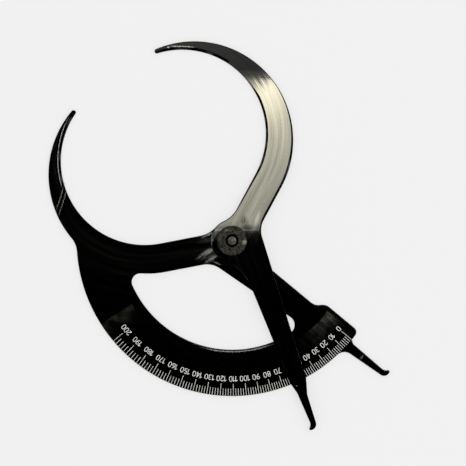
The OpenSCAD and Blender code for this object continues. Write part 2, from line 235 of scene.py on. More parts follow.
# A thin line of painted highlight along the rounded edge of the arm's boss
HIGHLIGHT_LINES_ON_ARM = [((0.0, 0.0), 13.4, 0.38, 176, 24, 1.0)]
print("rubbed places:", len(RUBBED_AND_HIGHLIT_ON_FRAME), "on the frame and", len(HIGHLIGHTS_AND_RUBS_ON_ARM), "on the arm")

# %% Soft ovals and thin arcs
OVAL_CORE = 0.3
STREAKS_ALONG = 0.9
STREAKS_ACROSS = 5.5
STREAKS_LEAST = 0.12


def oval_share(tree, place, centre, turn, half):
    """A streaky oval, from 0 outside it to 1 at its middle."""
    local = add(tree, "ShaderNodeMapping", {
        "Vector": place, "Location": (centre[0] * MM, centre[1] * MM, 0),
        "Rotation": (0, 0, math.radians(turn)), "Scale": (half[0] * MM, half[1] * MM, 1)},
        vector_type="TEXTURE")
    flat = add(tree, VECTOR, {0: local, 1: (1, 1, 0)}, operation="MULTIPLY")
    distance = add(tree, VECTOR, {0: flat}, out="Value", operation="LENGTH")
    share = add(tree, RANGE, {"Value": distance, "From Min": OVAL_CORE, "To Min": 1.0, "To Max": 0.0},
                interpolation_type="SMOOTHSTEP")
    stretched = add(tree, VECTOR, {0: flat, 1: (STREAKS_ALONG, STREAKS_ACROSS, 0)}, operation="MULTIPLY")
    streaks = add(tree, NOISE, {"Vector": stretched, "Scale": 1.0, "Detail": 3.0})
    streaks = add(tree, RANGE, {"Value": streaks, **HARD_CONTRAST, "To Min": STREAKS_LEAST})
    return add(tree, MATH, {0: share, 1: streaks}, operation="MULTIPLY")


def arc_share(tree, place, centre, radius, half_width, middle, half_span):
    """A thin arc, from 0 beside it to 1 on its middle."""
    local = add(tree, "ShaderNodeMapping", {
        "Vector": place, "Location": (centre[0] * MM, centre[1] * MM, 0),
        "Rotation": (0, 0, math.radians(middle))}, vector_type="TEXTURE")
    flat = add(tree, VECTOR, {0: local, 1: (1, 1, 0)}, operation="MULTIPLY")
    distance = add(tree, VECTOR, {0: flat}, out="Value", operation="LENGTH")
    beside = add(tree, MATH, {0: distance, 1: radius * MM}, operation="SUBTRACT")
    beside = add(tree, MATH, {0: beside}, operation="ABSOLUTE")
    parts = add(tree, "ShaderNodeSeparateXYZ", {0: flat}).node.outputs
    turn = add(tree, MATH, {0: parts["Y"], 1: parts["X"]}, operation="ARCTAN2")
    turn = add(tree, MATH, {0: turn}, operation="ABSOLUTE")
    on_line = add(tree, RANGE, {"Value": beside, "From Min": half_width * MM,
                                "From Max": half_width / 3 * MM})
    in_span = add(tree, RANGE, {"Value": turn, "From Min": math.radians(half_span),
                                "From Max": math.radians(half_span) / 2})
    return add(tree, MATH, {0: on_line, 1: in_span}, operation="MULTIPLY")


def rubbed_and_highlight_share(tree, place, spots, lines=()):
    """How much of the black is worn off or lightened by painted highlights, from 0 to 1."""
    total = 0.0
    for *shape, amount in spots:
        share = oval_share(tree, place, *shape)
        share = add(tree, MATH, {0: share, 1: amount}, operation="MULTIPLY")
        total = add(tree, MATH, {0: share, 1: total}, operation="MAXIMUM")
    for *shape, amount in lines:
        share = arc_share(tree, place, *shape)
        share = add(tree, MATH, {0: share, 1: amount}, operation="MULTIPLY")
        total = add(tree, MATH, {0: share, 1: total}, operation="MAXIMUM")
    return total


# %% [markdown]
# The plates are blackened steel: brushed lengthwise, then turned black in a hot salt bath and oiled. The
# thin oxide is glossy and nearly black, so it shows little but what it mirrors. The brushing shows as
# streaks in that mirror image: the real scratches are about 0.02 mm wide, too fine to render, so they are
# drawn as streaks of 0.5 mm, with broader bands of 3 mm where the brush pressed harder. On the rounded
# edges the oxide wears through in short lengths, which the height of the surface normal picks out: it is
# 1 on a level face and 0 on a side wall.

# %% Blackened steel
STEEL_DARK = colour("#1d1d1f")
STEEL_LIGHT = colour("#28282a")
# Worn steel's colour, which the painted highlights use too
STEEL_BARE_AND_HIGHLIGHT = colour("#7a7f88")
GLOSS = 0.035
GLOSS_LESS, GLOSS_MORE = 0.01, 0.02
GLOSS_RUBBED = 0.40
SCRATCH_LENGTH = 34 * MM
SCRATCH_WIDTH = 0.5 * MM
SCRATCH_DEPTH = 0.0006 * MM
BAND_LENGTH = 70 * MM
BAND_WIDTH = 3.0 * MM
BAND_SHARE = 0.45
WEAR_LENGTH = 9 * MM
WEAR_MOST = 0.5
WEAR_PATCHES = (0.52, 0.68)
# How dark the painted shade makes the rounded edges, and the lean of the normal where it is full and where
# it ends
EDGE_SHADE = 0.2
SHADE_FULL, SHADE_NONE = 0.98, 0.9992
WEAR_FACE_SIDE = (0.97, 0.80)
WEAR_WALL_SIDE = (0.25, 0.60)


def blackened_steel(name, turn, mirrored, spots, lines, extra):
    """The plates' steel. The function extra gives a colour of painted shade and highlight to tint it with,
    and more dullness.
    """
    material, tree = empty_material(name)
    place = add(tree, "ShaderNodeTexCoord", out="Object")
    ways = limb_ways(tree, place, turn, mirrored)
    scratches = limb_streaks(tree, ways, SCRATCH_LENGTH, SCRATCH_WIDTH)
    bands = limb_streaks(tree, ways, BAND_LENGTH, BAND_WIDTH, 1.0)
    both = add(tree, MIX, {"Factor": BAND_SHARE, 2: scratches, 3: bands})
    contrast = add(tree, RANGE, {"Value": both, **CONTRAST})
    tint = add(tree, MIX, {"Factor": contrast, 6: STEEL_DARK, 7: STEEL_LIGHT}, out=2, data_type="RGBA")
    # The colour from extra is painted shade and highlight, which scales the tint
    painted_shading, dullness = extra(tree, place, ways, scratches)
    tint = add(tree, VECTOR, {0: tint, 1: painted_shading}, operation="MULTIPLY")
    # Painted shade darkens the rounded edges, where the normal leans away, and dims their reflection too
    facing = add(tree, "ShaderNodeNewGeometry", out="Normal")
    lean = add(tree, "ShaderNodeSeparateXYZ", {0: facing}, out="Z")
    painted_shade = add(tree, RANGE, {"Value": lean, "From Min": SHADE_FULL, "From Max": SHADE_NONE,
                              "To Min": EDGE_SHADE})
    tint = add(tree, VECTOR, {0: tint, "Scale": painted_shade}, operation="SCALE")
    # The oxide wears through in short lengths halfway between the flat face and the side wall
    from_face = add(tree, RANGE, {"Value": lean, "From Min": WEAR_FACE_SIDE[0],
                                  "From Max": WEAR_FACE_SIDE[1]})
    from_wall = add(tree, RANGE, {"Value": lean, "From Min": WEAR_WALL_SIDE[0],
                                  "From Max": WEAR_WALL_SIDE[1]})
    patches = add(tree, NOISE, {"Vector": place, "Scale": 1 / WEAR_LENGTH, "Detail": 3.0})
    patchy = add(tree, RANGE, {"Value": patches, "From Min": WEAR_PATCHES[0],
                               "From Max": WEAR_PATCHES[1], "To Max": WEAR_MOST})
    worn = add(tree, MATH, {0: from_face, 1: from_wall}, operation="MULTIPLY")
    worn = add(tree, MATH, {0: worn, 1: patchy}, operation="MULTIPLY")
    # Worn places and painted highlights lighten the black towards the worn steel's colour
    bare_and_highlit = add(tree, MATH, {0: rubbed_and_highlight_share(tree, place, spots, lines), 1: worn}, operation="MAXIMUM")
    base = add(tree, MIX, {"Factor": bare_and_highlit, 6: tint, 7: STEEL_BARE_AND_HIGHLIGHT}, out=2, data_type="RGBA")
    banded = add(tree, RANGE, {"Value": bands, **SOFT_CONTRAST,
                               "To Min": GLOSS - GLOSS_LESS, "To Max": GLOSS + GLOSS_MORE})
    dull = add(tree, MATH, {0: dullness, 1: bare_and_highlit}, operation="MAXIMUM")
    rough = add(tree, MIX, {"Factor": dull, 2: banded, 3: GLOSS_RUBBED})
    normal = add(tree, "ShaderNodeBump", {"Height": scratches, "Distance": SCRATCH_DEPTH})
    shader = add(tree, "ShaderNodeBsdfPrincipled", {
        "Base Color": base, "Metallic": 1.0, "Roughness": rough, "Normal": normal,
        "Specular Tint": painted_shade})
    add(tree, "ShaderNodeOutputMaterial", {0: shader})
    return material


# %% [markdown]
# The frame's scale stands on a band that was masked while the rest was polished. Its two ends are a little
# matt, and handling has polished the middle. The band is part of a ring about the pivot, so its mask comes
# from polar coordinates about the Z axis.

# %% The frame's matt scale band
SCALE_BAND_INNER = 75.8 * MM
SCALE_BAND_OUTER = 99.6 * MM
SCALE_BAND_START = math.radians(-147.4)
SCALE_BAND_END = math.radians(-36.0)
BAND_EDGE = 0.4 * MM
BAND_EDGE_TURN = 0.01
LOW_END_FADE = (0.42, 0.08)
LOW_END_REACH = 14 * MM
LOW_END_OUTER = 0.25
HIGH_END_FADE = 0.14
HIGH_END_MOST = 0.8
CLOUD_SIZE = 6 * MM
CLOUD_DULLNESS = (0.15, 0.42)
# Where the painted shade on the facet inside the jaw lies, and how dark it is
JAW_FACET_CENTRE = (-53.9 * MM, 51.4 * MM, 0)
JAW_FACET_RADIUS = 57.4 * MM
JAW_FACET_EDGE = 0.3 * MM
JAW_FACET_SHADE = (0.2, 0.2, 0.2)


def scale_band(tree, place, ways, scratches):
    """The frame's painted shade and dullness. It takes what the arm's function takes, and needs only the
    place.
    """
    flat = add(tree, VECTOR, {0: place, 1: (1, 1, 0)}, operation="MULTIPLY")
    radius = add(tree, VECTOR, {0: flat}, out="Value", operation="LENGTH")
    parts = add(tree, "ShaderNodeSeparateXYZ", {0: place}).node
    turn = add(tree, MATH, {0: parts.outputs["Y"], 1: parts.outputs["X"]}, operation="ARCTAN2")
    inside = add(tree, RANGE, {"Value": radius, "From Min": SCALE_BAND_INNER - BAND_EDGE,
                               "From Max": SCALE_BAND_INNER + BAND_EDGE})
    within = add(tree, RANGE, {"Value": radius, "From Min": SCALE_BAND_OUTER + BAND_EDGE,
                               "From Max": SCALE_BAND_OUTER})
    after = add(tree, RANGE, {"Value": turn, "From Min": SCALE_BAND_START - BAND_EDGE_TURN,
                              "From Max": SCALE_BAND_START})
    before = add(tree, RANGE, {"Value": turn, "From Min": SCALE_BAND_END,
                               "From Max": SCALE_BAND_END - BAND_EDGE_TURN})
    # The matt places fade from the low end's inner corner and from the high end's edge
    near_inner = add(tree, RANGE, {"Value": radius, "From Min": SCALE_BAND_INNER,
                                   "From Max": SCALE_BAND_INNER + LOW_END_REACH,
                                   "To Min": 1.0, "To Max": LOW_END_OUTER})
    low_end = add(tree, RANGE, {"Value": turn, "From Min": SCALE_BAND_END - LOW_END_FADE[0],
                                "From Max": SCALE_BAND_END - LOW_END_FADE[1]})
    low_end = add(tree, MATH, {0: low_end, 1: near_inner}, operation="MULTIPLY")
    high_end = add(tree, RANGE, {"Value": turn, "From Min": SCALE_BAND_START + HIGH_END_FADE,
                                 "From Max": SCALE_BAND_START, "To Max": HIGH_END_MOST})
    matt = add(tree, MATH, {0: low_end, 1: high_end}, operation="MAXIMUM")
    clouds = add(tree, NOISE, {"Vector": place, "Scale": 1 / CLOUD_SIZE, "Detail": 4.0})
    clouded = add(tree, RANGE, {"Value": clouds, **CONTRAST,
                                "To Min": CLOUD_DULLNESS[0], "To Max": CLOUD_DULLNESS[1]})
    dullness = add(tree, MATH, {0: matt, 1: clouded}, operation="MULTIPLY")
    for part in (inside, within, after, before):
        dullness = add(tree, MATH, {0: dullness, 1: part}, operation="MULTIPLY")
    # Painted shade darkens the facet inside the jaw, so that it mirrors less
    from_mouth = add(tree, VECTOR, {0: flat, 1: JAW_FACET_CENTRE}, operation="SUBTRACT")
    from_mouth = add(tree, VECTOR, {0: from_mouth}, out="Value", operation="LENGTH")
    facet = add(tree, RANGE, {"Value": from_mouth, "From Min": JAW_FACET_RADIUS,
                              "From Max": JAW_FACET_RADIUS - JAW_FACET_EDGE})
    painted_shading = add(tree, MIX, {"Factor": facet, 4: (1, 1, 1), 5: JAW_FACET_SHADE}, out=1, data_type="VECTOR")
    return painted_shading, dullness


frame_steel = blackened_steel("blackened_steel_frame", ZERO_TURN, True, RUBBED_AND_HIGHLIT_ON_FRAME,
                              HIGHLIGHT_LINES_ON_FRAME, scale_band)
print("frame's steel has", len(frame_steel.node_tree.nodes), "nodes")


# %% [markdown]
# The arm's jaw is bent down to the frame's level. Past a ragged line across the jaw, that end is a little
# duller, and painted shade darkens it, with darker streaks along it, so that it mirrors less light. Round
# the boss painted shade darkens the arm in two places, and a painted highlight runs up the bar's back.

# %% The arm's darker jaw end
DARK_END = 57.0 * MM
DARK_END_RAGGED = 9.0 * MM
DARK_END_FADE = (2.5 * MM, 3.5 * MM)
DARK_END_DULLNESS = 0.12
DARK_END_SHADE = (0.26, 0.275, 0.31)
DARK_END_DEEP_SHADE = (0.13, 0.13, 0.135)


def dark_end(tree, place, ways, scratches):
    """The arm's painted shade and highlight, and its dullness."""
    along = add(tree, "ShaderNodeSeparateXYZ", {0: ways[0]})
    streaky = add(tree, RANGE, {"Value": scratches, **CONTRAST})
    ragged = add(tree, MATH, {0: streaky, 1: DARK_END_RAGGED, 2: along}, operation="MULTIPLY_ADD")
    start = DARK_END + DARK_END_RAGGED / 2
    dark = add(tree, RANGE, {"Value": ragged, "From Min": start - DARK_END_FADE[0],
                             "From Max": start + DARK_END_FADE[1]})
    jaw_side = add(tree, MATH, {0: 1.0, 1: ways[2]}, operation="SUBTRACT")
    dark = add(tree, MATH, {0: dark, 1: jaw_side}, operation="MULTIPLY")
    # Past the ragged line painted shade darkens the tint, more in streaks
    painted_shade = add(tree, MIX, {"Factor": streaky, 4: DARK_END_SHADE, 5: DARK_END_DEEP_SHADE},
                out=1, data_type="VECTOR")
    painted_shading = add(tree, MIX, {"Factor": dark, 4: (1, 1, 1), 5: painted_shade}, out=1, data_type="VECTOR")
    # The ovals of painted shade and highlight scale the tint
    for centre, turn, half, amount in SHADE_AND_HIGHLIGHT_ON_ARM:
        share = oval_share(tree, place, centre, turn, half)
        shade = add(tree, MATH, {0: share, 1: amount, 2: 1.0}, operation="MULTIPLY_ADD")
        painted_shading = add(tree, VECTOR, {0: painted_shading, "Scale": shade}, operation="SCALE")
    dullness = add(tree, MATH, {0: dark, 1: DARK_END_DULLNESS}, operation="MULTIPLY")
    return painted_shading, dullness


arm_steel = blackened_steel("blackened_steel_arm", READING_TURN, False, HIGHLIGHTS_AND_RUBS_ON_ARM,
                            HIGHLIGHT_LINES_ON_ARM, dark_end)
print("arm's steel has", len(arm_steel.node_tree.nodes), "nodes")

# %% [markdown]
# The CAD plates have knife-sharp edges. The real ones were filed and tumbled before they were blackened,
# which rounds each edge and draws the thin lines along each outline. The arm's edges are rounded more along
# the jaw's inner side and along the bar's back, where the file went over them most. So each edge carries a
# weight, its share of the widest rounding, which changes along the limb.

# %% How much each edge is rounded
WIDEST_ROUND = 1.6 * MM
# Each pair of brackets below is a ramp: from and to along the limb, and the weights there
BOTTOM_WEIGHT = 0.2
FRAME_WEIGHT = 0.33
ARM_LEG_WEIGHT = 0.16
LEG_EDGES = 8 * MM
MOUTH_SIDE = MOUTH_RADIUS + 2.2 * MM
TIP_EASE = (112 * MM, 121 * MM, 1.0, 0.25)
MOUTH_AT_BAR = (-28 * MM, 8 * MM, 0.36, 1.0)
MOUTH_AT_JAW = (50 * MM, 62 * MM, 1.0, 0.2)
BACK_AT_BAR = (-34 * MM, -22 * MM, 0.44, 1.0)
BACK_AT_JAW = (14 * MM, 50 * MM, 1.0, 0.32)


def limb_place(point, turn, mirrored):
    """Distances along and across the limb for a point, as in the materials."""
    x = point.x * math.cos(turn) - point.y * math.sin(turn)
    y = point.x * math.sin(turn) + point.y * math.cos(turn)
    from_mouth = Vector((x, -y if mirrored else y, 0)) - MOUTH_CENTRE
    ahead = from_mouth.dot(bar_way)
    aside = from_mouth.dot(bar_side)
    across = math.hypot(max(ahead, 0), aside)
    along = math.atan2(max(ahead, 0), aside) * MOUTH_RADIUS + min(ahead, 0)
    return along, across, x


def ramp(value, low, high, at_low, at_high):
    """A straight ramp, level outside its ends."""
    share = min(max((value - low) / (high - low), 0), 1)
    return at_low + (at_high - at_low) * share


def frame_weight(point):
    return FRAME_WEIGHT * ramp(limb_place(point, ZERO_TURN, True)[0], *TIP_EASE)


def arm_weight(point):
    along, across, x = limb_place(point, READING_TURN, False)
    if x > LEG_EDGES:
        return ARM_LEG_WEIGHT
    if across < MOUTH_SIDE:
        weight = min(ramp(along, *MOUTH_AT_BAR), ramp(along, *MOUTH_AT_JAW))
    else:
        weight = ramp(along, *BACK_AT_JAW) * ramp(along, *BACK_AT_BAR)
    return weight * ramp(along, *TIP_EASE)


frame_round = FRAME_WEIGHT * WIDEST_ROUND
print("rounded edges are", round(frame_round / MM, 2), "mm wide on the frame's face")
print("and up to", round(WIDEST_ROUND / MM, 2), "mm wide on the arm's")

# %% [markdown]
# The arm passes over the frame at the pivot, and its jaw is bent down until it lies level with the frame's.
# The CAD model has two sharp folds there, but a bent plate has soft ones, which show in the mirror image.
# Each fold is cut into thin strips, and their points are moved onto a smooth curve, by 0.03 mm at most.

# %% Soft bends of the arm
# A bend is given by the Y of its fold, its reach on both sides and the slope that the fold adds
SLOPE = 2.73 / 99.0
SOFT_BENDS = [(7.0 * MM, 4.0 * MM, -SLOPE), (106.0 * MM, 4.0 * MM, SLOPE)]
BEND_STRIPS = 10
CUT = 0.001 * MM


def soften_fold(shape, fold, reach, slope):
    """Turns the fold at y = fold into a bend that reaches that far on both sides. Slope is what it adds."""
    for step in range(BEND_STRIPS + 1):
        y = fold + reach * (2 * step / BEND_STRIPS - 1)
        if 2 * step != BEND_STRIPS:
            everything = [*shape.verts, *shape.edges, *shape.faces]
            bmesh.ops.bisect_plane(
                shape, geom=everything, dist=CUT, plane_co=(0, y, 0), plane_no=(0, 1, 0))
    for vert in shape.verts:
        near = max(reach - abs(vert.co.y - fold), 0.0)
        vert.co.z += slope * near * near / (4 * reach)


for fold_y, reach, slope in SOFT_BENDS:
    moved = abs(slope) * reach / 4
    print("bend at", round(fold_y / MM), "mm moves its fold by", round(moved / MM, 3), "mm")

# %% [markdown]
# A copy of each plate is merged to one skin, its flat faces are joined, and a Bevel modifier rounds its
# edges by their weights. The modifier hardens the normals, so that the flat faces stay flat mirrors.

# %% Plates with rounded edges
SHARP = math.radians(15)
FLAT = math.radians(0.1)
MERGE = 0.002 * MM
SLIVER = 0.03 * MM
ROUND_SEGMENTS = 3
UPWARD = 0.5


def rounded_copy(node, name, body, material, width, weight_at=None, bends=()):
    """A merged copy of a CAD node with rounded edges, which stands for that node."""
    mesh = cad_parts[node].data.copy()
    shape = bmesh.new()
    shape.from_mesh(mesh)
    bmesh.ops.remove_doubles(shape, verts=shape.verts, dist=MERGE)
    for bend in bends:
        soften_fold(shape, *bend)
    bmesh.ops.remove_doubles(shape, verts=shape.verts, dist=SLIVER)
    bmesh.ops.dissolve_limit(shape, angle_limit=FLAT, verts=shape.verts, edges=shape.edges)
    weights = shape.edges.layers.float.new("bevel_weight_edge")
    for face in shape.faces:
        face.smooth = True
    for edge in shape.edges:
        if len(edge.link_faces) == 2 and edge.calc_face_angle() > SHARP:
            middle = (edge.verts[0].co + edge.verts[1].co) / 2
            above = max(face.normal.z for face in edge.link_faces)
            edge[weights] = BOTTOM_WEIGHT if above < UPWARD else weight_at(middle) if weight_at else 1.0
    shape.to_mesh(mesh)
    shape.free()
    for kept in ("custom_normal", "sharp_edge", "sharp_face"):
        if kept in mesh.attributes:
            mesh.attributes.remove(mesh.attributes[kept])
    mesh.materials.clear()
    mesh.materials.append(material)
    piece = bpy.data.objects.new(name, mesh)
    scene.collection.objects.link(piece)
    bevel = piece.modifiers.new("rounded edges", "BEVEL")
    bevel.width = width
    bevel.segments = ROUND_SEGMENTS
    bevel.limit_method = "WEIGHT"
    bevel.use_clamp_overlap = False
    bevel.harden_normals = True
    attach(piece, body)
    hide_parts(node)
    print(name, len(mesh.polygons), "faces before rounding")


rounded_copy("frame_plate", "blackened_frame", "frame", frame_steel,
             WIDEST_ROUND, frame_weight)
rounded_copy("moving_arm", "blackened_arm", "arm", arm_steel,
             WIDEST_ROUND, arm_weight, SOFT_BENDS)

# %% [markdown]
# The front washer is plain steel that has gone dull and dark grey with oil and handling. It shows no mirror
# image, only broad light, with darker stains, a painted highlight and a pale rub, and small dents. Painted
# shade fills the countersink round the rivet's end, which looks like a black ring.

# %% Dull washer steel
WASHER_DARK = colour("#11110f")
WASHER_LIGHT = colour("#444440")
WASHER_BARE_AND_HIGHLIGHT = colour("#b4b4a8")
# The first oval is a painted highlight on the washer's right side, the second a pale rub
HIGHLIGHT_AND_RUB_ON_WASHER = [((7.9, -1.1), 50, (2.3, 1.8), 0.8), ((-3.5, 6.6), 30, (2.2, 1.0), 0.35)]
# Painted shade in the countersink round the rivet's end
COUNTERSINK_SHADE = colour("#0a0a09")
STAIN_SIZE = 2.2 * MM
DENT_SIZE = 0.8 * MM
DENT_DEPTH = 0.10 * MM
SHADE_RING = 4.1 * MM
SHADE_RING_FADE = 0.3 * MM
WASHER_ROUGH = (0.36, 0.52)
WASHER_ROUND = 0.35 * MM


def dull_washer_steel(name):
    material, tree = empty_material(name)
    place = add(tree, "ShaderNodeTexCoord", out="Object")
    stains = add(tree, NOISE, {"Vector": place, "Scale": 1 / STAIN_SIZE, "Detail": 4.0, "Roughness": 0.65})
    specks = add(tree, NOISE, {"Vector": place, "Scale": 1 / DENT_SIZE, "Detail": 3.0})
    both = add(tree, MIX, {"Factor": 0.5, 2: stains, 3: specks})
    share = add(tree, RANGE, {"Value": both, **HARD_CONTRAST})
    tint = add(tree, MIX, {"Factor": share, 6: WASHER_DARK, 7: WASHER_LIGHT}, out=2, data_type="RGBA")
    flat = add(tree, VECTOR, {0: place, 1: (1, 1, 0)}, operation="MULTIPLY")
    radius = add(tree, VECTOR, {0: flat}, out="Value", operation="LENGTH")
    # Painted shade darkens the washer inside this ring, in the countersink
    in_shade_ring = add(tree, RANGE, {"Value": radius, "From Min": SHADE_RING + SHADE_RING_FADE,
                               "From Max": SHADE_RING})
    # The painted highlight and the rub lighten the tint
    rubbed_and_highlit = rubbed_and_highlight_share(tree, place, HIGHLIGHT_AND_RUB_ON_WASHER)
    tint = add(tree, MIX, {"Factor": rubbed_and_highlit, 6: tint, 7: WASHER_BARE_AND_HIGHLIGHT}, out=2, data_type="RGBA")
    base = add(tree, MIX, {"Factor": in_shade_ring, 6: tint, 7: COUNTERSINK_SHADE}, out=2, data_type="RGBA")
    rough = add(tree, RANGE, {"Value": specks, **SOFT_CONTRAST,
                              "To Min": WASHER_ROUGH[0], "To Max": WASHER_ROUGH[1]})
    normal = add(tree, "ShaderNodeBump", {"Height": both, "Distance": DENT_DEPTH})
    shader = add(tree, "ShaderNodeBsdfPrincipled", {
        "Base Color": base, "Metallic": 1.0, "Roughness": rough, "Normal": normal})
    add(tree, "ShaderNodeOutputMaterial", {0: shader})
    return material


rounded_copy("front_washer", "dull_washer", "frame", dull_washer_steel("dull_washer_steel"),
             WASHER_ROUND)

# %% [markdown]
# The rivet was closed with a hammer: its end is a low dome covered in shallow dimples, and it sits down in
# the washer's countersink. The piece is turned like on a lathe: a profile of radius and height is spun
# about the axis. Then the points of the dome are pushed down into round dimples, each about a point of a
# cell noise. A dimple's radius is 0.6 of the spacing of those points, so the dimples overlap.

# %% The hammered rivet
RIVET_SEGMENTS = 64
DOME_RINGS = 14
DIMPLE_DEPTH = 0.16 * MM
DIMPLE_SPACING = 1.15 * MM
DIMPLE_REACH = 0.6
DIMPLED_HEIGHT = 0.5 * MM
rivet_high = Vector(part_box("pivot_rivet")[1])
rivet_top = rivet_high.z
REAR_RADIUS = rivet_high.x
SHANK_RADIUS = 3.1 * MM
DOME_RADIUS = 2.85 * MM
DOME_DROP = 0.22 * MM
DOME_RIM = 0.15 * MM
BELOW_TOP = 0.02 * MM

# Radius and height, from the flat rear head up its cone and the shank to the foot of the dome
profile = [
    (0.0, 0.0),
    (REAR_RADIUS - 0.15 * MM, 0.0),
    (REAR_RADIUS, 0.06 * MM),
    (REAR_RADIUS - 0.1 * MM, 0.2 * MM),
    (SHANK_RADIUS + 0.05 * MM, 1.35 * MM),
    (SHANK_RADIUS, 1.5 * MM),
    (SHANK_RADIUS, rivet_top - 1.2 * MM),
    (DOME_RADIUS, rivet_top - 0.62 * MM),
    (DOME_RADIUS - 0.05 * MM, rivet_top - 0.4 * MM),
]
for ring in range(DOME_RINGS, -1, -1):
    share = ring / DOME_RINGS
    profile.append((share * (DOME_RADIUS - DOME_RIM), rivet_top - BELOW_TOP - DOME_DROP * share ** 3))

shape = bmesh.new()
previous = None
for radius, height in profile:
    if radius == 0.0:
        ring_points = [shape.verts.new((0, 0, height))]
    else:
        ring_points = []
        for step in range(RIVET_SEGMENTS):
            turn = 2 * math.pi * step / RIVET_SEGMENTS
            point = Vector((radius * math.cos(turn), radius * math.sin(turn), height))
            if height > rivet_top - DIMPLED_HEIGHT:
                from_middle = noise.voronoi(point / DIMPLE_SPACING)[0][0]
                point.z -= DIMPLE_DEPTH * max(0.0, 1.0 - (from_middle / DIMPLE_REACH) ** 2)
            ring_points.append(shape.verts.new(point))
    if previous:
        for step in range(RIVET_SEGMENTS):
            after = (step + 1) % RIVET_SEGMENTS
            corners = [
                previous[step % len(previous)], previous[after % len(previous)],
                ring_points[after % len(ring_points)], ring_points[step % len(ring_points)]]
            shape.faces.new(list(dict.fromkeys(corners)))
    previous = ring_points
for face in shape.faces:
    face.smooth = True
bmesh.ops.recalc_face_normals(shape, faces=shape.faces)
rivet_mesh = bpy.data.meshes.new("hammered_rivet")
shape.to_mesh(rivet_mesh)
shape.free()
print("rivet has", len(rivet_mesh.polygons), "faces, top at", round(rivet_top / MM, 2), "mm")

# %% [markdown]
# The rivet is softer mild steel, bare and slightly tarnished. Its hammered end is a mid grey, lighter on
# the ridges between the dimples, and painted black with shade at its foot, down in the countersink.

# %% Hammered mild steel
RIVET_DARK = colour("#1c1c18")
RIVET_LIGHT = colour("#6c6c63")
PIT_SIZE = 0.8 * MM
PIT_DEPTH = 0.08 * MM
RIVET_ROUGH = (0.30, 0.46)
FOOT_FADE = (0.28 * MM, 0.5 * MM)
REAR_FADE = (1.0 * MM, 1.5 * MM)
material, tree = empty_material("hammered_mild_steel")
place = add(tree, "ShaderNodeTexCoord", out="Object")
pits = add(tree, NOISE, {"Vector": place, "Scale": 1 / PIT_SIZE, "Detail": 4.0})
share = add(tree, RANGE, {"Value": pits, **CONTRAST})
tint = add(tree, MIX, {"Factor": share, 6: RIVET_DARK, 7: RIVET_LIGHT}, out=2, data_type="RGBA")
height = add(tree, "ShaderNodeSeparateXYZ", {0: place}, out="Z")
# Painted shade on the rivet's foot, down in the countersink
foot = add(tree, RANGE, {"Value": height, "From Min": rivet_top - FOOT_FADE[0],
                         "From Max": rivet_top - FOOT_FADE[1]})
above_rear = add(tree, RANGE, {"Value": height, "From Min": REAR_FADE[0], "From Max": REAR_FADE[1]})
foot = add(tree, MATH, {0: foot, 1: above_rear}, operation="MULTIPLY")
base = add(tree, MIX, {"Factor": foot, 6: tint, 7: COUNTERSINK_SHADE}, out=2, data_type="RGBA")
rough = add(tree, RANGE, {"Value": pits, **SOFT_CONTRAST,
                          "To Min": RIVET_ROUGH[0], "To Max": RIVET_ROUGH[1]})
normal = add(tree, "ShaderNodeBump", {"Height": pits, "Distance": PIT_DEPTH})
shader = add(tree, "ShaderNodeBsdfPrincipled", {
    "Base Color": base, "Metallic": 1.0, "Roughness": rough, "Normal": normal})
add(tree, "ShaderNodeOutputMaterial", {0: shader})
rivet_mesh.materials.append(material)
rivet_piece = bpy.data.objects.new("hammered_rivet", rivet_mesh)
scene.collection.objects.link(rivet_piece)
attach(rivet_piece, "frame")
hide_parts("pivot_rivet")
print("rivet dressed in", material.name)

# %% [markdown]
# Between the plates lies a thin brass spacer. Only its rim shows, in the gap, so its CAD solid stays. Brass
# turns brown where air reaches it, so its colour wanders between yellow and brown over a few millimetres.

# %% Tarnished brass
BRASS_BROWN = colour("#5c4a26")
BRASS_YELLOW = colour("#a58a4a")
BRASS_ROUGH = (0.55, 0.35)
TARNISH_SIZE = 2.5 * MM
TARNISH_DEPTH = 0.01 * MM
material, tree = empty_material("tarnished_brass")
place = add(tree, "ShaderNodeTexCoord", out="Object")
tarnish = add(tree, NOISE, {"Vector": place, "Scale": 1 / TARNISH_SIZE, "Detail": 4.0})
share = add(tree, RANGE, {"Value": tarnish, **CONTRAST})
base = add(tree, MIX, {"Factor": share, 6: BRASS_BROWN, 7: BRASS_YELLOW}, out=2, data_type="RGBA")
rough = add(tree, RANGE, {"Value": tarnish, **SOFT_CONTRAST,
                          "To Min": BRASS_ROUGH[0], "To Max": BRASS_ROUGH[1]})
normal = add(tree, "ShaderNodeBump", {"Height": tarnish, "Distance": TARNISH_DEPTH})
shader = add(tree, "ShaderNodeBsdfPrincipled", {
    "Base Color": base, "Metallic": 1.0, "Roughness": rough, "Normal": normal})
add(tree, "ShaderNodeOutputMaterial", {0: shader})
spacer_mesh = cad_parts["spacer_washer"].data
spacer_mesh.materials.clear()
spacer_mesh.materials.append(material)
print("spacer dressed in", material.name)

# %% [markdown]
# The marks and figures are engraved and filled with white paint, which was wiped off flush with a rag. The
# paint is a chalky white, thinner and greyer where the rag dragged it out, and it never reflects sharply.

